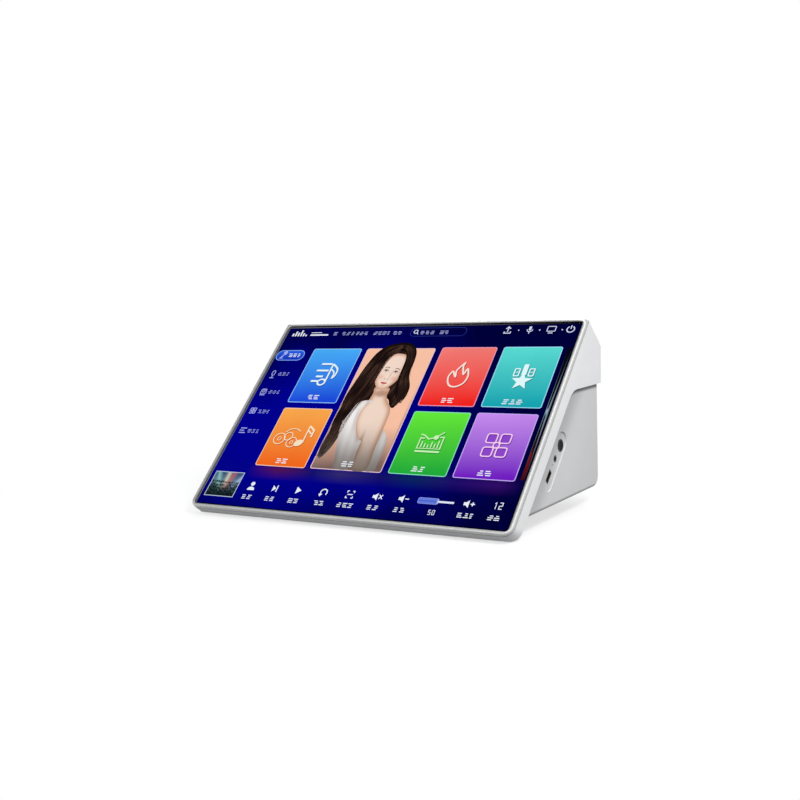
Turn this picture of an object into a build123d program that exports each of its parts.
import os
from math import cos, radians, sin

from build123d import *

os.makedirs("parts", exist_ok=True)

# Desktop karaoke console: a touch screen panel tilted back on a wedge-shaped housing.
# Frame: X to the right, Y to the back, Z up. The origin is the centre of the footprint, on the table.
# All sizes are in millimetres.

# Overall form
console_w = 366.0  # across the screen panel
panel_h = 250.2  # up the screen panel
panel_angle = 44.0  # screen above the table, in degrees
front_lift = 9.8  # lower screen edge above the table
wall = 2.5  # moulded walls
band_depth = 18.0  # thickness of the screen panel at its edge
band_under_round = 10.0  # rounding under the panel
corner_low = 16.0  # lower corners of the panel, at the back of its band
corner_front = 9.5  # the same corners at the bezel
corner_high = 2.5  # upper corners of the panel
hood_depth = 41.5  # top of the hood, square to the screen
hood_rise = 1.5  # the top of the hood climbs a little to the back
hood_round = 1.4
seam_z = 118.2  # lower edge of the hood
hood_lean = 1.9  # the hood's back comes in by this much down to the seam
shoulder_round = 26.0
hood_sill = 12.5  # ledge between the shoulder and the hood's opening
body_inset = 2.7  # lower housing in from the hood's sides and back
body_lean = 3.1  # the housing's back comes in by this much down to its floor
body_floor_z = 16.1
body_back_round = 11.0
body_edge_round = 3.5
fit_gap = 0.2  # clearance between nested mouldings
lip_h = 3.0  # lip of the lower housing, inside the hood
lip_gap = 0.5
weld = 0.1  # overlap where one moulded feature grows out of another
over = 1.0  # how far a cutting body runs past the face it opens

# Screen stack, counted in from the front face
bezel_round = 2.0
bezel_inner_round = 0.9
bezel_seam = 0.4  # dark joint between bezel and band
glass_side = 4.5
glass_low = 4.0
glass_high = 3.5
glass_set = 0.8
glass_t = 1.8
glass_corner = 3.0
glass_corner_high = 2.0
glass_gap = 0.15
gasket_t = 0.4
gasket_w = 5.0
ledge_t = 1.4
ledge_w = 6.0
skirt_t = 1.5
skirt_depth = 6.5
cell_gap = 0.2
cell_t = 1.8
cell_margin = 3.0  # display outside its viewing window
guide_t = 4.0
tray_t = 1.0
tray_gap = 0.3
tray_corner = 3.0
pad_w = 61.5  # stiffening pads pressed in the tray
pad_h = 62.5
pad_t = 0.8
pad_corner = 8.0
pad_pitch = 88.0
pad_count = 3
pad_below_top = 70.0

# Display rails and the boards on the tray
rail_w = 14.0
rail_t = 1.2
rail_hook = 3.6
rail_end = 12.0  # rail ends short of the display
rail_screw_inset = 30.0
rail_ear = 11.0
rail_ear_reach = 2.6
rail_boss_r = 3.0
tray_board_w = 84.0
tray_board_h = 34.0
tray_board_t = 1.6
tray_board_foot = 2.0
tray_foot_r = 2.0
tray_foot_in = 4.0
driver_plug_up = 8.0
driver_rise = 16.6  # the display ribbon bends this far over its plug on the main board
touch_from_driver = 102.0  # from one board's centre to the other's
touch_board_w = 46.0
touch_board_h = 22.0

# Fasteners
screw_r = 1.5
screw_head_r = 2.8
screw_head_t = 1.8
screw_slot_w = 0.8
screw_slot_t = 0.8
screw_pilot_gap = 0.15
screw_head_gap = 0.4
screw_end_gap = 1.5  # a blind hole goes on past the screw's end
rear_screw_grip = 9.0
front_screw_grip = 6.0
cover_screw_grip = 2.0
boss_r = 4.2
pillar_r = 5.5
pillar_side = 9.8  # pillar centre in from the housing's side
pillar_in = 14.0  # pillar centre in from the inner back wall
pillar_web = 3.0
front_boss_side = 30.3
front_boss_in = 10.0
front_boss_h = 40.0
brace_w = 3.2
brace_alongs = (70.0, 120.0, 170.0)
brace_gap = 1.0

# Base
foot_r = 11.0
foot_h = 8.0
foot_chamfer = 1.0
foot_side = 55.3  # foot centre in from the housing's side
foot_y_front = 62.0  # behind the front edge
foot_from_back = 34.2
foot_boss_gap = 2.0
foot_stem_r = 3.0
foot_stem_l = 3.6
foot_stem_gap = 0.1
foot_stem_end_gap = 0.4
cover_side = 20.0  # cover edge in from the feet's centres
cover_l = 92.0
cover_t = 1.2
cover_lip = 6.0
cover_corner = 6.0
cover_screw_inset = 6.0
vent_w = 3.0
vent_l = 38.0
vent_pitch = 8.0
vent_count = 9
back_vent_count = 15
back_vent_h = 22.0
back_vent_low = 24.0  # below the seam

# Side sockets, given as (up the screen, behind the screen)
recess_from = 72.0
recess_to = 137.0
recess_w = 19.0
recess_depth = 36.0
recess_in = 1.2
recess_pad = 1.6
button_at = (124.0, 37.0)
jack_at = (107.7, 36.0)
reset_at = (99.7, 35.3)
usb_at = (87.0, 35.7)
side_board_in = 14.0  # board behind the recess floor
side_board_t = 1.6
side_board_edge = 3.5
side_screw_out = 0.5
side_screw_grip = 5.0
side_post_r = 3.4
ring_r = 6.0
ring_lip = 0.5
ring_barrel_r = 5.5
ring_bore_r = 4.7
ring_barrel = 4.0
ring_round = 0.4
button_r = 4.5
button_round = 0.5
button_proud = 0.4
button_travel = 1.2
button_flange_r = 5.6
button_flange_t = 1.2
button_stem_r = 2.0
button_dish_r = 30.0
button_dish = 0.35
switch_side = 6.2
switch_h = 4.0
plunger_r = 1.7
plunger_out = 2.0
plunger_hold = 0.6
plunger_gap = 0.1
moving_gap = 0.25
jack_collar_r = 3.1
jack_bore_r = 1.8
jack_body = 11.5
pin_hole_r = 1.1
reset_side = 4.4
reset_w = 3.5
reset_h = 3.2
reset_pin_r = 0.75
reset_pin = 5.6
reset_travel = 0.4
usb_w = 13.2
usb_h = 5.8
usb_skin = 0.4
usb_round = 0.8
usb_cut_gap = 0.3
usb_tongue_w = 11.1
usb_tongue_t = 1.9
usb_tongue_set = 1.6
usb_tongue_root = 3.0
usb_tongue_up = 0.7
root_gap = 0.1  # a socket's moulded root inside its can

# Main board and the rear sockets on it; sockets are placed from the board's left edge
bay_from = 6.0
bay_to = 144.0
bay_z = (23.0, 48.0)
bay_in = 5.0
board_side = 22.3  # board edge in from the housing's right side
board_w = 158.0
board_l = 112.0
board_t = 1.6
board_screw_grip = 3.0
standoff_h = 6.0
standoff_r = 3.0
board_hole_in = 7.0
port_gap = 0.3
dc_at = 18.0
dc_w = 9.0
dc_h = 11.0
dc_axis_h = 6.0
dc_bore_r = 3.2
dc_bore_l = 10.0
dc_pin_set = 1.5
dc_pin_r = 1.0
dc_l = 14.0
hdmi_at = 38.0
hdmi_w = 15.0
hdmi_h = 5.6
hdmi_l = 11.0
hdmi_tongue_w = 12.0
hdmi_tongue_t = 1.1
hdmi_tongue_set = 1.6
hdmi_root_l = 2.0
hdmi_chamfer = 1.4
lan_at = 61.0
lan_w = 16.0
lan_h = 13.5
lan_l = 21.0
lan_open_w = 11.8
lan_open_h = 7.8
lan_open_l = 13.0
lan_sill = 2.0
lan_clip_w = 4.0
lan_clip_h = 2.4
rear_usb_at = 83.0
usb_stack_pitch = 7.4
usb_l = 17.0
line_at = (106.0, 124.0)
line_r = 4.15
line_bore_r = 3.6
line_out = 7.6
line_core_r = 2.9
line_core_set = 1.0
line_set = 0.5
line_pin_l = 6.0
line_pin_r = 1.65
line_axis_h = 9.0
line_block_w = 12.0
line_block_h = 15.0
line_block_l = 10.0
chip_side = 26.0
chip_t = 2.0
chip_at = (62.0, 62.0)  # centre, in from the board's left and back edges
memory_w = 12.0
memory_l = 9.0
memory_t = 1.2
memory_pitch = 15.0
memory_count = 4
sink_side = 44.0
sink_base = 3.0
sink_h = 16.0
fin_t = 1.4
fin_count = 9

# Hard disk that holds the songs, a 2.5 inch drive
disk_w = 100.2
disk_l = 69.85
disk_t = 9.5
disk_corner = 2.5
disk_lid_t = 0.8
disk_lid_in = 2.0
disk_lid_corner = 4.0
disk_side_gap = 6.0  # from the disk to the pillar beside it
disk_from_back = 4.0
disk_lift = 4.0
cradle_t = 1.2
cradle_side = 8.6
cradle_gap = 0.4
cradle_window_x = 24.0
cradle_window_y = 20.0
disk_screw_in = 14.0
disk_screw_up = 3.0
disk_screw_l = 4.0
grommet_in = 9.0
grommet_r = 4.5

# Antennas and cables
antenna_w = 42.0
antenna_h = 12.0
antenna_t = 0.8
antenna_side = 88.0  # antenna centre in from the panel's side
antenna_seat = 0.05
ribbon_t = 0.6
ribbon_bend = 4.0
display_ribbon_w = 24.0
display_plug_in = 32.0  # plug in from the main board's left edge
disk_ribbon_w = 20.0
side_ribbon_w = 10.0
plug_l = 5.0
plug_t = 3.0
plug_edge = 2.0
plug_gap = 1.0  # a plug stays clear of the board's screws
plug_rise = 9.0
disk_plug_w = 34.0
disk_plug_h = 6.0
disk_plug_l = 8.0
disk_plug_up = 1.0

# Values that follow from the sizes above
tilt = radians(panel_angle)
ct = cos(tilt)
st = sin(tilt)
half_w = console_w / 2
body_half = half_w - body_inset
bezel_depth = glass_set + glass_t + gasket_t
shell_front = bezel_depth + bezel_seam
floor_top = body_floor_z + wall
pillar_x = body_half - pillar_side
front_boss_x = body_half - front_boss_side
foot_x = body_half - foot_side
cover_w = 2 * (foot_x - cover_side)
board_x = (body_half - board_side - board_w, body_half - board_side)
bay_x = (board_x[0] + bay_from, board_x[0] + bay_to)
dc_x = board_x[0] + dc_at
hdmi_x = board_x[0] + hdmi_at
lan_x = board_x[0] + lan_at
rear_usb_x = board_x[0] + rear_usb_at
line_x = [board_x[0] + spot for spot in line_at]
front_reach = bezel_round * (ct + st - 1)
back_reach = (panel_h + hood_rise) * ct + hood_depth * st
front_y = -(front_reach + back_reach) / 2
seam_back_y = front_y + back_reach - hood_lean
body_back_top = seam_back_y - body_inset
body_back_low = body_back_top - body_lean
foot_y_back = body_back_low - foot_from_back


def at(along, depth):
    """Side-view point (y, z): up the screen, and square in behind it."""
    return (front_y + along * ct + depth * st, front_lift + along * st - depth * ct)


def along_at(z, depth):
    """How far up the screen the plane at this depth meets height z."""
    return (z - front_lift + depth * ct) / st


def y_at(z, depth):
    return at(along_at(z, depth), depth)[0]


def back_y(z):
    """Outer back wall of the lower housing at height z."""
    return body_back_low + body_lean * (z - body_floor_z) / (seam_z - body_floor_z)


screen = Plane(origin=(0, front_y, front_lift), x_dir=(1, 0, 0), z_dir=(0, -st, ct))
screen_axis = Axis((0, 0, 0), (0, -st, ct))


def side_plane(x):
    """Local X runs up the screen, local Y towards its face, and Z out to the right."""
    return Plane(origin=(x, front_y, front_lift), x_dir=(0, ct, st), z_dir=(1, 0, 0))


def block(x, y, z):
    """Box between pairs of limits."""
    size = [pair[1] - pair[0] for pair in (x, y, z)]
    centre = [(pair[1] + pair[0]) / 2 for pair in (x, y, z)]
    return Pos(*centre) * Box(*size)


def profile(points, radii):
    """Side-view outline, ready to be extruded along X."""
    return Plane.YZ * make_face(FilletPolyline(*points, radius=radii, close=True))


def both_ways(face, half):
    return extrude(face, amount=half, both=True)


def screen_face(side, low, high, r_low, r_high):
    """Panel outline, drawn in from the panel's sides, lower edge and upper edge."""
    face = Pos(0, (panel_h + low - high) / 2) * Rectangle(console_w - 2 * side, panel_h - low - high)
    if r_low > 0:
        face = fillet(face.vertices().group_by(Axis.Y)[0], r_low)
    if r_high > 0:
        face = fillet(face.vertices().group_by(Axis.Y)[-1], r_high)
    return face


def behind_screen(face, depth, thick):
    return extrude(screen.offset(-depth) * face, amount=-thick)


def on_side(x, spot, face, amount):
    """Extrude a face drawn on the side plane at a (up, behind) spot; a negative amount goes inwards."""
    return extrude(side_plane(x) * Pos(spot[0], -spot[1]) * face, amount=amount)


def post(x, y, z0, z1, r):
    return Pos(x, y, (z0 + z1) / 2) * Cylinder(r, z1 - z0)


def screw_up(x, y, z, length):
    """Pan-head screw that points up, with its head under height z."""
    head = post(x, y, z - screw_head_t, z, screw_head_r)
    slot = block(
        (x - screw_head_r, x + screw_head_r),
        (y - screw_slot_w / 2, y + screw_slot_w / 2),
        (z - screw_head_t, z - screw_head_t + screw_slot_t),
    )
    return head - slot + post(x, y, z, z + length, screw_r)


def screw_down(x, y, z, length):
    """Pan-head screw that points down, with its head on height z."""
    head = post(x, y, z, z + screw_head_t, screw_head_r)
    slot = block(
        (x - screw_head_r, x + screw_head_r),
        (y - screw_slot_w / 2, y + screw_slot_w / 2),
        (z + screw_head_t - screw_slot_t, z + screw_head_t),
    )
    return head - slot + post(x, y, z - length, z, screw_r)


parts = {}

# bezel, glass and gasket
glass_window = (glass_side, glass_low, glass_high)
window_side, window_low, window_high = (inset + ledge_w for inset in glass_window)
skirt_in = wall + fit_gap

hole_insets = [inset - glass_gap for inset in glass_window]
glass_hole = screen_face(*hole_insets, glass_corner + glass_gap, glass_corner_high)
front_ring = behind_screen(screen_face(0, 0, 0, corner_front, corner_high) - glass_hole, 0, bezel_depth)
ring_front = front_ring.faces().sort_by(screen_axis)[-1]
front_ring = fillet(ring_front.outer_wire().edges(), bezel_round)
ring_front = front_ring.faces().sort_by(screen_axis)[-1]
front_ring = fillet(ring_front.inner_wires()[0].edges(), bezel_inner_round)
skirt_outer = screen_face(skirt_in, skirt_in, skirt_in, corner_low - skirt_in, 0)
skirt_inset = skirt_in + skirt_t
skirt_inner = screen_face(skirt_inset, skirt_inset, skirt_inset, 0, 0)
window_face = screen_face(window_side, window_low, window_high, 0, 0)
ledge = behind_screen(skirt_outer - window_face, bezel_depth, ledge_t)
skirt = behind_screen(skirt_outer - skirt_inner, bezel_depth, skirt_depth - bezel_depth)
parts["front_bezel"] = front_ring + ledge + skirt

glass_face = screen_face(*glass_window, glass_corner, glass_corner_high)
parts["cover_glass"] = behind_screen(glass_face, glass_set, glass_t)

gasket_inner = screen_face(*(inset + gasket_w for inset in glass_window), 0, 0)
parts["glass_gasket"] = behind_screen(glass_face - gasket_inner, glass_set + glass_t, gasket_t)

# display module
cell_depth = bezel_depth + ledge_t + cell_gap
cell_insets = [inset - cell_margin for inset in (window_side, window_low, window_high)]
tray_insets = [inset - tray_gap - tray_t for inset in cell_insets]
tray_back = cell_depth + cell_t + guide_t
parts["lcd_cell"] = behind_screen(screen_face(*cell_insets, 0, 0), cell_depth, cell_t)
parts["light_guide"] = behind_screen(screen_face(*cell_insets, 0, 0), cell_depth + cell_t, guide_t)
tray_face = screen_face(*tray_insets, tray_corner, tray_corner)
tray = behind_screen(tray_face, cell_depth, cell_t + guide_t + tray_t)
tray_pocket = screen_face(*(inset - tray_gap for inset in cell_insets), 0, 0)
tray -= behind_screen(tray_pocket, cell_depth, cell_t + guide_t)
tray_outer = tray_back + tray_t

for n in range(pad_count):
    pad_at = Pos((n - (pad_count - 1) / 2) * pad_pitch, panel_h - pad_below_top)
    tray += behind_screen(pad_at * RectangleRounded(pad_w, pad_h, pad_corner), tray_outer, pad_t)
parts["lcd_back_tray"] = tray

# front shell: band and hood
join = along_at(seam_z, band_depth)
join_y = at(join, band_depth)[0]
seam_back = (seam_back_y, seam_z)
hood_corner = at(panel_h + hood_rise, hood_depth)
shell_side = profile(
    [
        at(0, shell_front),
        at(panel_h, shell_front),
        hood_corner,
        seam_back,
        (join_y, seam_z),
        at(0, band_depth),
    ],
    [0, 0, hood_round, 0, shoulder_round, band_under_round],
)
band_front = screen.offset(-shell_front) * screen_face(0, 0, -hood_depth, corner_front, 0)
band_back = screen.offset(-band_depth) * screen_face(0, 0, -hood_depth, corner_low, 0)
outline_prism = loft([band_front, band_back], ruled=True)
outline_prism += behind_screen(screen_face(0, 0, -hood_depth, corner_low, 0), band_depth, 4 * hood_depth)
shell = both_ways(shell_side, half_w) & outline_prism
back_edges = [
    edge
    for edge in shell.edges().filter_by(GeomType.LINE)
    if edge.center().Y > seam_back[0] and abs(edge.tangent_at(0.5).X) < 0.1 and edge.length > 2 * wall
]
shell = fillet(back_edges, hood_round)

hood_open_y = join_y + hood_sill
shell_inside = profile(
    [
        at(wall, shell_front - wall),
        at(panel_h - wall, shell_front - wall),
        (hood_corner[0] - wall, at(panel_h + hood_rise - wall, hood_depth - wall)[1]),
        (seam_back[0] - wall, seam_z - wall),
        (hood_open_y, seam_z - wall),
        (hood_open_y, seam_z + wall),
        at(join + wall, band_depth - wall),
        at(wall, band_depth - wall),
    ],
    [0, 0, 0, 0, 0, 0, 0, band_under_round - wall],
)
inside_face = screen_face(wall, wall, -hood_depth, corner_low - wall, 0)
inside_prism = behind_screen(inside_face, -wall, 5 * hood_depth)
shell -= both_ways(shell_inside, half_w - wall) & inside_prism

flange_x = body_half - 3 * wall
flange_low = along_at(floor_top, band_depth) + 6 * wall
opening = Pos(0, (flange_low + join) / 2) * Rectangle(2 * flange_x, join - flange_low)
shell -= behind_screen(opening, band_depth - 2 * wall, 3 * wall)

# bosses inside the hood and the panel that take the housing screws
inner_back = back_y(seam_z) - wall
pillar_y = inner_back - pillar_in
pillar_split = seam_z + 2 * wall
front_boss_y = y_at(floor_top, band_depth) + front_boss_in
hood_space = both_ways(shell_side, half_w)
pilot_r = screw_r + screw_pilot_gap
rear_hole_top = pillar_split + rear_screw_grip + screw_end_gap
front_hole_top = floor_top + front_screw_grip + screw_end_gap
panel_face = screen_face(0, 0, 0, 0, 0)
for side in (-1, 1):
    rear_boss = post(side * pillar_x, pillar_y, pillar_split, seam_z * 2, boss_r) & hood_space
    shell += rear_boss
    shell -= post(side * pillar_x, pillar_y, pillar_split, rear_hole_top, pilot_r)
    front_boss = post(side * front_boss_x, front_boss_y, floor_top, floor_top + front_boss_h, boss_r)
    front_boss -= behind_screen(panel_face, -panel_h, panel_h + band_depth - wall / 2)
    shell += front_boss
    shell -= post(side * front_boss_x, front_boss_y, floor_top, front_hole_top, pilot_r)

# the flange goes on up inside the hood, and short ribs brace it to the band
for side in (-1, 1):
    strip = Pos(side * (flange_x + half_w - wall) / 2, (join + panel_h) / 2)
    strip_face = strip * Rectangle(half_w - wall - flange_x, panel_h - join)
    shell += behind_screen(strip_face, band_depth - wall, wall) & hood_space
    for brace_along in brace_alongs:
        brace = Pos(side * (half_w - wall - brace_w / 2 + weld), brace_along) * Rectangle(brace_w, wall / 2)
        brace_from = skirt_depth + brace_gap
        shell += behind_screen(brace, brace_from, band_depth - wall - brace_from + weld)
parts["front_shell"] = shell

# lower housing
lip_y = hood_open_y + lip_gap
body_side = profile(
    [
        at(along_at(body_floor_z, band_depth), band_depth),
        (join_y, seam_z),
        (lip_y, seam_z),
        (lip_y, seam_z + lip_h),
        (back_y(seam_z + lip_h), seam_z + lip_h),
        (back_y(body_floor_z), body_floor_z),
    ],
    [0, shoulder_round, 0, 0, 0, body_back_round],
)
body = both_ways(body_side, body_half)
side_edges = [
    edge
    for edge in body.edges()
    if abs(edge.tangent_at(0.5).X) < 0.1
    and edge.length > body_back_round / 2
    and (edge.center().Z < body_floor_z + body_back_round or edge.center().Y > back_y(body_floor_z) - over)
]
body = fillet(side_edges, body_edge_round)
body_form = body
body_inside = profile(
    [
        at(along_at(floor_top, 0), 0),
        at(along_at(seam_z + 3 * lip_h, 0), 0),
        (back_y(seam_z + 3 * lip_h) - wall, seam_z + 3 * lip_h),
        (back_y(floor_top) - wall, floor_top),
    ],
    [0, 0, 0, body_back_round - wall],
)
body -= both_ways(body_inside, body_half - wall)

# rear bay: a pocket for the sockets, walled towards the inside
bay_y = back_y(bay_z[0]) - bay_in
bay_outer = block(
    (bay_x[0] - wall, bay_x[1] + wall),
    (bay_y - wall, bay_y + bay_in - over),
    (floor_top - weld, bay_z[1] + wall),
)
body += bay_outer & body_form
body -= block(bay_x, (bay_y, bay_y + 3 * bay_in), bay_z)

# side recess with a pad behind it
recess_spot = ((recess_from + recess_to) / 2, recess_depth)
recess_l = recess_to - recess_from
recess_x = body_half - recess_in
pad_x = body_half - wall - recess_pad
body += on_side(body_half - wall, recess_spot, SlotOverall(recess_l, recess_w), -recess_pad)
body -= on_side(recess_x, recess_spot, SlotOverall(recess_l, recess_w), 3 * recess_in)
through = -(recess_x - pad_x + 2 * over)
usb_hole = RectangleRounded(usb_w + 2 * usb_cut_gap, usb_h + 2 * usb_cut_gap, usb_round)
side_holes = [
    (button_at, Circle(ring_barrel_r)),
    (jack_at, Circle(jack_collar_r + moving_gap)),
    (reset_at, Circle(pin_hole_r)),
    (usb_at, usb_hole),
]
for spot, hole in side_holes:
    body -= on_side(recess_x + over, spot, hole, through)

# pillars for the housing screws, open from below
for side in (-1, 1):
    body += post(side * pillar_x, pillar_y, body_floor_z + wall / 2, pillar_split, pillar_r)
    head_well_r = screw_head_r + screw_head_gap
    body -= post(side * pillar_x, pillar_y, body_floor_z - over, pillar_split - pillar_web, head_well_r)
    body -= post(side * pillar_x, pillar_y, body_floor_z, pillar_split + over, pilot_r)
    body -= post(side * front_boss_x, front_boss_y, body_floor_z - over, floor_top + over, pilot_r)

# foot bosses, and the standoffs for boards and disk cradle rise from the floor
foot_spots = {
    "front_left": (-foot_x, front_y + foot_y_front),
    "front_right": (foot_x, front_y + foot_y_front),
    "back_left": (-foot_x, foot_y_back),
    "back_right": (foot_x, foot_y_back),
}
for x, y in foot_spots.values():
    body += post(x, y, foot_h, body_floor_z + wall / 2, foot_r + foot_boss_gap)
    body -= post(x, y, foot_h, foot_h + foot_stem_l + foot_stem_end_gap, foot_stem_r)

# opening for the base cover, with a rebate below
cover_y = (front_y + foot_y_front + foot_y_back) / 2
cover_plan = Pos(0, cover_y) * RectangleRounded(cover_w, cover_l, cover_corner)
under_floor = Plane.XY.offset(body_floor_z - over)
cover_hole = RectangleRounded(cover_w - 2 * cover_lip, cover_l - 2 * cover_lip, cover_corner / 2)
body -= extrude(under_floor * Pos(0, cover_y) * cover_hole, amount=wall + 2 * over)
rebate_plan = RectangleRounded(cover_w + 2 * fit_gap, cover_l + 2 * fit_gap, cover_corner)
body -= extrude(under_floor * Pos(0, cover_y) * rebate_plan, amount=over + cover_t)
cover_screw_spots = [
    (sx * (cover_w / 2 - cover_screw_inset / 2), cover_y + sy * (cover_l / 2 - cover_screw_inset / 2))
    for sx in (-1, 1)
    for sy in (-1, 1)
]
for x, y in cover_screw_spots:
    body -= post(x, y, body_floor_z, floor_top + over, pilot_r)

# vents in the back wall, under the seam
vent_z = seam_z - back_vent_low
for n in range(back_vent_count):
    vent_x = (n - (back_vent_count - 1) / 2) * vent_pitch
    slot = Pos(vent_x, vent_z) * SlotOverall(back_vent_h, vent_w, rotation=90)
    body -= extrude(Plane.XZ.offset(-back_y(vent_z) - 2 * wall) * slot, amount=5 * wall)
parts["lower_housing"] = body

# base cover, feet and housing screws
cover = extrude(Plane.XY.offset(body_floor_z) * cover_plan, amount=cover_t)
for n in range(vent_count):
    vent_x = (n - (vent_count - 1) / 2) * vent_pitch
    slot = Pos(vent_x, cover_y) * SlotOverall(vent_l, vent_w, rotation=90)
    cover -= extrude(under_floor * slot, amount=cover_t + 2 * over)
for x, y in cover_screw_spots:
    cover -= post(x, y, body_floor_z - over, body_floor_z + cover_t + over, pilot_r)
parts["base_cover"] = cover

cover_screws = [screw_up(x, y, body_floor_z, wall + cover_screw_grip) for x, y in cover_screw_spots]
parts["base_cover_screws"] = Compound(children=cover_screws)

housing_screws = []
for side in (-1, 1):
    rear_seat = pillar_split - pillar_web
    housing_screws.append(screw_up(side * pillar_x, pillar_y, rear_seat, pillar_web + rear_screw_grip))
    housing_screws.append(screw_up(side * front_boss_x, front_boss_y, body_floor_z, wall + front_screw_grip))
parts["housing_screws"] = Compound(children=housing_screws)

for name, (x, y) in foot_spots.items():
    pad = post(x, y, 0, foot_h, foot_r)
    pad = chamfer(pad.edges().sort_by(Axis.Z)[0], foot_chamfer)
    pad += post(x, y, foot_h, foot_h + foot_stem_l, foot_stem_r - foot_stem_gap)
    parts["foot_" + name] = pad

# display rails and boards behind the display
rail_x = half_w - tray_insets[0] - rail_w / 2
rail_low = tray_insets[1] + rail_end
rail_high = panel_h - tray_insets[2] - rail_end
rail_mid = (rail_low + rail_high) / 2
rail_spots = [rail_low + rail_screw_inset, rail_high - rail_screw_inset]
display_screws = []
rail_screws = []
rail_fix_x = body_half - wall - screw_head_r - fit_gap
shell = parts["front_shell"]
for side, name in ((-1, "left"), (1, "right")):
    plate = Pos(side * rail_x, rail_mid) * Rectangle(rail_w, rail_high - rail_low)
    rail = behind_screen(plate, tray_outer, rail_t)
    hook = Pos(side * (rail_x - rail_w / 2 + rail_t / 2), rail_mid) * Rectangle(rail_t, rail_high - rail_low)
    rail += behind_screen(hook, tray_outer, rail_hook)
    for along in rail_spots:
        rail_spot = Pos(side * rail_x, along)
        rail -= behind_screen(rail_spot * Circle(pilot_r), tray_outer - over, rail_t + 2 * over)
        tray_hole = behind_screen(rail_spot * Circle(pilot_r), tray_back - tray_t / 2, 2 * tray_t)
        parts["lcd_back_tray"] -= tray_hole
        head = behind_screen(rail_spot * Circle(screw_head_r), tray_outer + rail_t, screw_head_t)
        shank = behind_screen(rail_spot * Circle(screw_r), tray_back + weld, tray_t + rail_t)
        display_screws.append(head + shank)

        # ear on a shell boss, with a screw from behind the shell's flange
        fix = Pos(side * rail_fix_x, along + rail_ear)
        ear_in = rail_x + rail_w / 2 - rail_t
        ear = Pos(side * (ear_in + rail_fix_x + rail_ear_reach) / 2, along + rail_ear)
        ear_face = ear * Rectangle(rail_fix_x + rail_ear_reach - ear_in, rail_ear)
        rail += behind_screen(ear_face, tray_outer, rail_t)
        rail -= behind_screen(fix * Circle(pilot_r), tray_outer - over, rail_t + 2 * over)
        boss_depth = tray_outer + rail_t
        shell += behind_screen(fix * Circle(rail_boss_r), boss_depth, band_depth - boss_depth)
        shell -= behind_screen(fix * Circle(pilot_r), boss_depth - over, band_depth)
        head = behind_screen(fix * Circle(screw_head_r), band_depth, screw_head_t)
        shank_depth = tray_outer + fit_gap
        rail_screws.append(head + behind_screen(fix * Circle(screw_r), shank_depth, band_depth - shank_depth))
    parts["display_rail_" + name] = rail
parts["display_screws"] = Compound(children=display_screws)
parts["rail_screws"] = Compound(children=rail_screws)
parts["front_shell"] = shell


def tray_board(x, along, w, h):
    """Small board on four feet, carried by the display's back tray."""
    board = behind_screen(Pos(x, along) * Rectangle(w, h), tray_outer + tray_board_foot, tray_board_t)
    for sx in (-1, 1):
        for sy in (-1, 1):
            spot = Pos(x + sx * (w / 2 - tray_foot_in), along + sy * (h / 2 - tray_foot_in))
            board += behind_screen(spot * Circle(tray_foot_r), tray_outer, tray_board_foot)
    return board


board_z = floor_top + standoff_h
board_top = board_z + board_t
board_back = bay_y - wall - port_gap
board_front = board_back - board_l
display_plug_y = board_front + plug_l
driver_plug_depth = tray_outer + tray_board_foot + tray_board_t + plug_t
bend_back = display_plug_y - front_y
bend_up = board_top + plug_t + driver_rise - front_lift
bend_depth = bend_back * st - bend_up * ct
driver_plug_along = bend_back * ct + bend_up * st
driver_along = driver_plug_along - driver_plug_up

driver_x = board_x[0] + display_plug_in
driver = tray_board(driver_x, driver_along, tray_board_w, tray_board_h)
socket_face = Pos(driver_x, driver_plug_along) * Rectangle(display_ribbon_w + 2 * plug_edge, plug_l)
driver += behind_screen(socket_face, tray_outer + tray_board_foot + tray_board_t, plug_t)
parts["display_driver_board"] = driver
touch_x = driver_x - touch_from_driver
parts["touch_controller_board"] = tray_board(touch_x, driver_along, touch_board_w, touch_board_h)

# side sockets and their board
side_board_x = recess_x - side_board_in
board_face = Rectangle(recess_l + 2 * side_board_edge, recess_w)
side_board = on_side(side_board_x, recess_spot, board_face, -side_board_t)
side_board_back = side_board_x - side_board_t
side_screws = []
for end in (-1, 1):
    spot = (recess_spot[0] + end * (recess_l / 2 + side_screw_out), recess_depth)
    side_board -= on_side(side_board_x + over, spot, Circle(pilot_r), -side_board_t - 2 * over)
    stand = on_side(side_board_x, spot, Circle(side_post_r), pad_x - side_board_x + weld)
    stand -= on_side(side_board_x - over, spot, Circle(pilot_r), side_screw_grip + 2 * over)
    parts["lower_housing"] += stand
    head = on_side(side_board_back, spot, Circle(screw_head_r), -screw_head_t)
    side_screws.append(head + on_side(side_board_back, spot, Circle(screw_r), side_board_t + side_screw_grip))
parts["side_board"] = side_board
parts["side_board_screws"] = Compound(children=side_screws)

ring = on_side(recess_x, button_at, Circle(ring_r) - Circle(ring_bore_r), ring_lip)
ring += on_side(recess_x, button_at, Circle(ring_barrel_r) - Circle(ring_bore_r), -ring_barrel)
ring_edges = ring.edges().filter_by(GeomType.CIRCLE).sort_by(Axis.X)[-2:]
ring = fillet(ring_edges.sort_by(SortBy.RADIUS)[-1], ring_round)
parts["power_button_ring"] = ring

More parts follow.
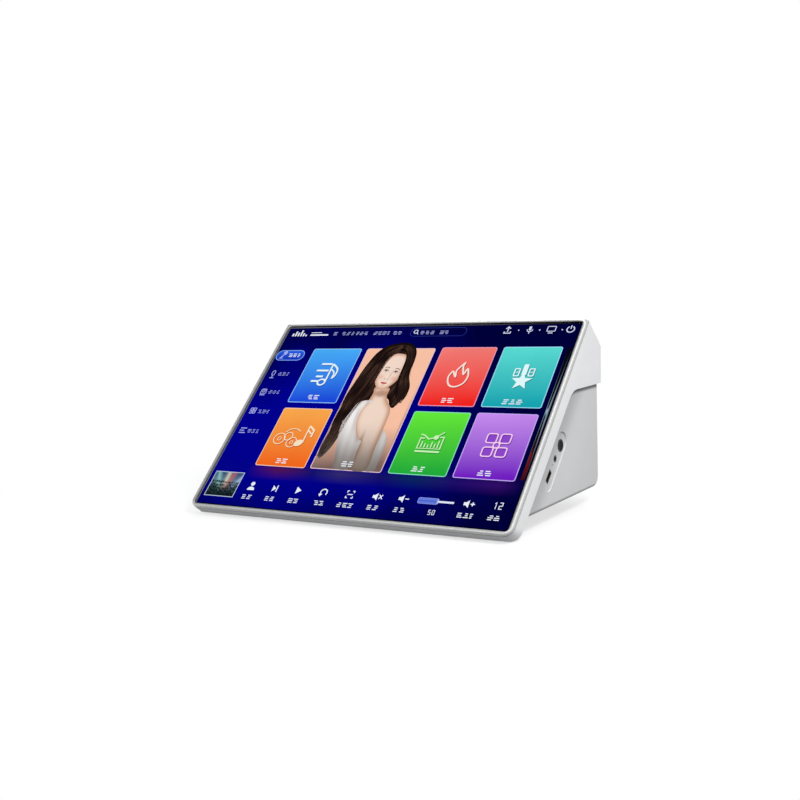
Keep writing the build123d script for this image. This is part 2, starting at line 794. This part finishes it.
button_face_x = recess_x + button_proud
flange_front_x = recess_x - ring_barrel - moving_gap
plunger_top_x = side_board_x + switch_h + plunger_out
button_l = button_face_x - flange_front_x + button_flange_t / 2
button = on_side(button_face_x, button_at, Circle(button_r), -button_l)
button = fillet(button.edges().filter_by(GeomType.CIRCLE).sort_by(Axis.X)[-1], button_round)
button += on_side(flange_front_x, button_at, Circle(button_flange_r), -button_flange_t)
button += on_side(flange_front_x, button_at, Circle(button_stem_r), plunger_top_x - flange_front_x)
dish_spot = side_plane(button_face_x + button_dish_r - button_dish) * Pos(button_at[0], -button_at[1])
button -= dish_spot * Sphere(button_dish_r)
parts["power_button"] = button

switch = on_side(side_board_x, button_at, Rectangle(switch_side, switch_side), switch_h)
plunger_well = button_travel + plunger_hold + moving_gap
switch_hole = Circle(plunger_r + plunger_gap)
switch -= on_side(side_board_x + switch_h + over, button_at, switch_hole, -plunger_well - over)
parts["power_switch"] = switch
parts["power_switch_plunger"] = on_side(
    side_board_x + switch_h - plunger_hold, button_at, Circle(plunger_r), plunger_hold + plunger_out
)

jack_front_x = pad_x - moving_gap
jack = on_side(side_board_x, jack_at, Rectangle(jack_body, jack_body), jack_front_x - side_board_x)
jack += on_side(side_board_x, jack_at, Circle(jack_collar_r), recess_x - side_board_x)
jack -= on_side(recess_x + over, jack_at, Circle(jack_bore_r), -side_board_in - over)
parts["headphone_jack"] = jack

reset_body = on_side(side_board_x, reset_at, Rectangle(reset_w, reset_side), reset_h)
reset_well = reset_travel + plunger_hold + moving_gap
reset_hole = Circle(reset_pin_r + plunger_gap)
reset_body -= on_side(side_board_x + reset_h + over, reset_at, reset_hole, -reset_well - over)
parts["reset_switch"] = reset_body
parts["reset_plunger"] = on_side(
    side_board_x + reset_h - plunger_hold, reset_at, Circle(reset_pin_r), plunger_hold + reset_pin
)


def usb_can(plane_at, length, height):
    """Pressed steel sleeve of a socket, open at its mouth; the mouth lies on the given plane."""
    outer = RectangleRounded(usb_w, height, usb_round)
    inner = RectangleRounded(usb_w - 2 * usb_skin, height - 2 * usb_skin, usb_round - usb_skin)
    can = extrude(plane_at * outer, amount=-length)
    can -= extrude(plane_at.offset(over) * inner, amount=-(length - usb_skin) - over)
    return can


def usb_tongue(plane_at, length):
    """Contact tongue on its moulded root."""
    root_w = usb_w - 2 * usb_skin - root_gap
    root_h = usb_h - 2 * usb_skin - root_gap
    inner = RectangleRounded(root_w, root_h, usb_round)
    root = extrude(plane_at.offset(-(length - usb_skin)) * inner, amount=usb_tongue_root)
    tongue_l = length - usb_skin - usb_tongue_set
    blade = Pos(0, usb_tongue_up) * Rectangle(usb_tongue_w, usb_tongue_t)
    return root + extrude(plane_at.offset(-(length - usb_skin)) * blade, amount=tongue_l)


side_usb = side_plane(recess_x) * Pos(usb_at[0], -usb_at[1])
side_usb_plane = Plane(side_usb)
parts["side_usb_shell"] = usb_can(side_usb_plane, side_board_in, usb_h)
parts["side_usb_tongue"] = usb_tongue(side_usb_plane, side_board_in)

# main board with its sockets
main_board = block(board_x, (board_front, board_back), (board_z, board_top))
board_holes = [
    (x, y)
    for x in (board_x[0] + board_hole_in, board_x[1] - board_hole_in)
    for y in (board_front + board_hole_in, board_back - board_hole_in)
]
standoffs = []
board_screws = []
for x, y in board_holes:
    main_board -= post(x, y, board_z - over, board_top + over, pilot_r)
    standoff = post(x, y, floor_top, board_z, standoff_r)
    standoffs.append(standoff - post(x, y, floor_top + over, board_z + over, screw_r))
    board_screws.append(screw_down(x, y, board_top, board_t + board_screw_grip))

rear = Plane(origin=(0, bay_y, board_top), x_dir=(-1, 0, 0), z_dir=(0, 1, 0))


def rear_at(x, z):
    """Socket plane that faces backwards, centred at x and at height z over the board."""
    return Plane(rear * Pos(-x, z))


dc = block((dc_x - dc_w / 2, dc_x + dc_w / 2), (bay_y - dc_l, bay_y), (board_top, board_top + dc_h))
dc_axis = rear_at(dc_x, dc_axis_h)
dc_pin_l = dc_bore_l + weld - dc_pin_set
dc -= extrude(dc_axis.offset(over) * Circle(dc_bore_r), amount=-dc_bore_l - over)
dc += extrude(dc_axis.offset(-dc_bore_l - weld) * Circle(dc_pin_r), amount=dc_pin_l)
parts["dc_inlet"] = dc

hdmi_plane = rear_at(hdmi_x, hdmi_h / 2)
hdmi_can = extrude(hdmi_plane * Rectangle(hdmi_w, hdmi_h), amount=-hdmi_l)
hdmi_can = chamfer(hdmi_can.edges().filter_by(Axis.Y).group_by(Axis.Z)[0], hdmi_chamfer)
hollow_w = hdmi_w - 2 * usb_skin
hollow_h = hdmi_h - 2 * usb_skin
hdmi_hollow = extrude(hdmi_plane * Rectangle(hollow_w, hollow_h), amount=-hdmi_l + usb_skin)
hdmi_hollow = chamfer(hdmi_hollow.edges().filter_by(Axis.Y).group_by(Axis.Z)[0], hdmi_chamfer - usb_skin / 2)
parts["hdmi_shell"] = hdmi_can - hdmi_hollow
hdmi_end = hdmi_plane.offset(usb_skin - hdmi_l)
hdmi_blade_l = hdmi_l - usb_skin - hdmi_tongue_set
hdmi_blade = extrude(hdmi_end * Rectangle(hdmi_tongue_w, hdmi_tongue_t), amount=hdmi_blade_l)
hdmi_root = Pos(0, hollow_h / 4 - root_gap) * Rectangle(hollow_w - 2 * root_gap, hollow_h / 2)
parts["hdmi_tongue"] = hdmi_blade + extrude(hdmi_end * hdmi_root, amount=hdmi_root_l)

lan = extrude(rear_at(lan_x, lan_h / 2) * Rectangle(lan_w, lan_h), amount=-lan_l)
lan_open_z = lan_sill + lan_clip_h + lan_open_h / 2
lan_mouth = rear_at(lan_x, lan_open_z).offset(over) * Rectangle(lan_open_w, lan_open_h)
lan -= extrude(lan_mouth, amount=-lan_open_l - over)
lan_clip_z = lan_sill + (lan_clip_h + weld) / 2
lan_clip = rear_at(lan_x, lan_clip_z).offset(over) * Rectangle(lan_clip_w, lan_clip_h + weld)
lan -= extrude(lan_clip, amount=-lan_open_l - over)
parts["lan_port"] = lan

usb_planes = [rear_at(rear_usb_x, usb_h / 2 + usb_stack_pitch * n) for n in range(2)]
usb_stack_h = usb_h + usb_stack_pitch
usb_outer = rear_at(rear_usb_x, usb_stack_h / 2) * RectangleRounded(usb_w, usb_stack_h, usb_round)
usb_block = extrude(usb_outer, amount=-usb_l)
for plane_at in usb_planes:
    mouth = RectangleRounded(usb_w - 2 * usb_skin, usb_h - 2 * usb_skin, usb_round - usb_skin)
    usb_block -= extrude(plane_at.offset(over) * mouth, amount=-(usb_l - usb_skin) - over)
parts["rear_usb_shell"] = usb_block
parts["rear_usb_tongues"] = Compound(children=[usb_tongue(plane_at, usb_l) for plane_at in usb_planes])

line_blocks = []
for x, name in zip(line_x, ("right", "left")):
    axis = rear_at(x, line_axis_h)
    body_block = block(
        (x - line_block_w / 2, x + line_block_w / 2),
        (bay_y - line_block_l, bay_y - line_set),
        (board_top, board_top + line_block_h),
    )
    core_l = line_set + line_out - line_core_set
    body_block += extrude(axis.offset(-line_set) * Circle(line_core_r), amount=core_l)
    body_block -= extrude(axis.offset(line_out) * Circle(line_pin_r), amount=-line_out - line_pin_l)
    line_blocks.append(body_block)
    collar = Circle(line_r) - Circle(line_bore_r)
    parts["line_out_" + name] = extrude(axis.offset(-line_set) * collar, amount=line_set + line_out)
parts["line_out_block"] = Compound(children=line_blocks)

# socket holes in the bay's wall
housing = parts["lower_housing"]
bay_cuts = [
    (dc_x, dc_w, dc_h),
    (hdmi_x, hdmi_w, hdmi_h),
    (lan_x, lan_w, lan_h),
    (rear_usb_x, usb_w, usb_stack_h),
    *((x, line_block_w, line_block_h) for x in line_x),
]
for x, w, h in bay_cuts:
    housing -= block(
        (x - w / 2 - port_gap, x + w / 2 + port_gap),
        (bay_y - wall - over, bay_y + over),
        (board_top - port_gap, board_top + h + port_gap),
    )
parts["lower_housing"] = housing

chip_centre = (board_x[0] + chip_at[0], board_back - chip_at[1])
chip_z = board_top + chip_t
parts["processor"] = block(
    (chip_centre[0] - chip_side / 2, chip_centre[0] + chip_side / 2),
    (chip_centre[1] - chip_side / 2, chip_centre[1] + chip_side / 2),
    (board_top, chip_z),
)
memory_x = chip_centre[0] + sink_side / 2 + memory_w
memory = []
for n in range(memory_count):
    memory_y = chip_centre[1] + (n - (memory_count - 1) / 2) * memory_pitch
    memory.append(
        block(
            (memory_x - memory_w / 2, memory_x + memory_w / 2),
            (memory_y - memory_l / 2, memory_y + memory_l / 2),
            (board_top, board_top + memory_t),
        )
    )
parts["memory_chips"] = Compound(children=memory)
sink_x = (chip_centre[0] - sink_side / 2, chip_centre[0] + sink_side / 2)
sink_y = (chip_centre[1] - sink_side / 2, chip_centre[1] + sink_side / 2)
sink = block(sink_x, sink_y, (chip_z, chip_z + sink_base))
for n in range(fin_count):
    fin_x = sink_x[0] + n * (sink_side - fin_t) / (fin_count - 1)
    sink += block((fin_x, fin_x + fin_t), sink_y, (chip_z, chip_z + sink_h))
parts["heat_sink"] = sink
parts["main_board"] = main_board
parts["main_board_standoffs"] = Compound(children=standoffs)
parts["main_board_screws"] = Compound(children=board_screws)

# hard disk in its cradle
disk_z = floor_top + disk_lift
disk_back = back_y(floor_top) - wall - body_back_round + disk_from_back
disk_left = pillar_r + disk_side_gap - pillar_x
disk_xs = (disk_left, disk_left + disk_w)
disk_ys = (disk_back - disk_l, disk_back)
disk = block(disk_xs, disk_ys, (disk_z, disk_z + disk_t - disk_lid_t))
disk = fillet(disk.edges().filter_by(Axis.Z), disk_corner)
lid = block(
    (disk_xs[0] + disk_lid_in, disk_xs[1] - disk_lid_in),
    (disk_ys[0] + disk_lid_in, disk_ys[1] - disk_lid_in),
    (disk_z + disk_t - disk_lid_t, disk_z + disk_t),
)
parts["hard_disk"] = disk + fillet(lid.edges().filter_by(Axis.Z), disk_lid_corner)

cradle_ys = (disk_ys[0] - cradle_gap - cradle_t, disk_ys[1] + cradle_gap + cradle_t)
cradle_low = disk_z - cradle_t - fit_gap
cradle = block(disk_xs, cradle_ys, (cradle_low, cradle_low + cradle_side))
cradle -= block(
    (disk_xs[0] - over, disk_xs[1] + over),
    (disk_ys[0] - cradle_gap, disk_ys[1] + cradle_gap),
    (disk_z - fit_gap, cradle_low + cradle_side + over),
)
cradle -= block(
    (disk_xs[0] + cradle_window_x, disk_xs[1] - cradle_window_x),
    (disk_ys[0] + cradle_window_y, disk_ys[1] - cradle_window_y),
    (cradle_low - over, disk_z),
)
grommets = []
disk_screws = []
for x in (disk_xs[0] + disk_screw_in, disk_xs[1] - disk_screw_in):
    for y in (disk_ys[0] + grommet_in, disk_ys[1] - grommet_in):
        bore = post(x, y, floor_top - over, disk_z, pilot_r)
        cradle -= bore
        grommets.append(post(x, y, floor_top, cradle_low, grommet_r) - bore)
    for side, y in ((-1, cradle_ys[0]), (1, cradle_ys[1])):
        spot = Plane(origin=(x, y, disk_z + disk_screw_up), z_dir=(0, side, 0))
        screw = extrude(spot * Circle(screw_head_r), amount=screw_head_t)
        disk_screws.append(screw + extrude(spot * Circle(screw_r), amount=-disk_screw_l))
        hole = extrude(spot.offset(over) * Circle(pilot_r), amount=-disk_screw_l - 2 * over)
        cradle -= hole
        parts["hard_disk"] -= hole
parts["disk_cradle"] = cradle
parts["disk_grommets"] = Compound(children=grommets)
parts["disk_screws"] = Compound(children=disk_screws)

# internal ribbons and the connectors they meet
def ribbon(plane_at, points, width):
    """Flat cable with even bends, drawn in a plane and centred on it."""
    line = FilletPolyline(*points, radius=[ribbon_bend] * (len(points) - 2))
    return extrude(plane_at * trace(line, ribbon_t), amount=width / 2, both=True)


def board_plug(x, y, wide_x, wide_y):
    """Connector that stands on the main board."""
    return Pos(x, y, board_top + plug_t / 2) * Box(wide_x, wide_y, plug_t)


# the display ribbon stands up from the board's front edge and runs square into the driver board
display_ribbon_x = board_x[0] + display_plug_in
display_ribbon_plane = Plane(origin=(display_ribbon_x, 0, 0), x_dir=(0, 1, 0), z_dir=(1, 0, 0))
display_line = [
    (display_plug_y, board_top + plug_t),
    at(driver_plug_along, bend_depth),
    at(driver_plug_along, driver_plug_depth),
]
parts["display_cable"] = ribbon(display_ribbon_plane, display_line, display_ribbon_w)

# the disk ribbon arches from the disk's end to the board's left edge
disk_ribbon_y = (disk_ys[0] + disk_ys[1]) / 2
disk_plug_x = disk_xs[1] + disk_plug_l
disk_plug_z = disk_z + disk_plug_up + disk_plug_h / 2
board_plug_x = board_x[0] + plug_l
arch_z = board_top + plug_t + 2 * plug_rise
upright = Plane(origin=(0, disk_ribbon_y, 0), x_dir=(1, 0, 0), z_dir=(0, -1, 0))
disk_line = [
    (disk_plug_x, disk_plug_z),
    (disk_plug_x + plug_l, disk_plug_z),
    (disk_plug_x + plug_l, arch_z),
    (board_plug_x + 2 * plug_l, arch_z),
    (board_plug_x + 2 * plug_l, board_top + plug_t),
]
parts["disk_cable"] = ribbon(upright, disk_line, disk_ribbon_w)
parts["disk_plug"] = block(
    (disk_xs[1], disk_plug_x),
    (disk_ribbon_y - disk_plug_w / 2, disk_ribbon_y + disk_plug_w / 2),
    (disk_plug_z - disk_plug_h / 2, disk_plug_z + disk_plug_h / 2),
)

# the side board's ribbon drops to the main board's right edge
side_ribbon_y, side_ribbon_z = at(*recess_spot)
side_plug_x = side_board_x - side_board_t
side_drop_x = board_x[1] - board_hole_in - screw_head_r - plug_gap - plug_l / 2
side_upright = Plane(origin=(0, side_ribbon_y, 0), x_dir=(1, 0, 0), z_dir=(0, -1, 0))
side_line = [(side_plug_x, side_ribbon_z), (side_drop_x, side_ribbon_z), (side_drop_x, board_top + plug_t)]
parts["side_board_cable"] = ribbon(side_upright, side_line, side_ribbon_w)
parts["board_connectors"] = Compound(
    children=[
        board_plug(display_ribbon_x, display_plug_y, display_ribbon_w + 2 * plug_edge, plug_l),
        board_plug(board_plug_x + 2 * plug_l, disk_ribbon_y, plug_l, disk_ribbon_w + 2 * plug_edge),
        board_plug(side_drop_x, side_ribbon_y, plug_l, side_ribbon_w + 2 * plug_edge),
    ]
)

# antennas on the hood's inner back wall
antenna_z = (seam_z + lip_h + hood_corner[1] - wall) / 2
hood_slope = hood_lean / (hood_corner[1] - seam_z)
wall_y = seam_back_y - wall + (antenna_z - seam_z) * hood_slope
back_inner = Plane(origin=(0, wall_y - antenna_seat, antenna_z), x_dir=(1, 0, 0), z_dir=(0, -1, hood_slope))
for side, name in ((-1, "left"), (1, "right")):
    patch = back_inner * Pos(side * (half_w - antenna_side), 0) * Rectangle(antenna_w, antenna_h)
    parts["antenna_" + name] = extrude(patch, amount=antenna_t)

for name, shape in parts.items():
    export_step(shape, "parts/" + name + ".step")
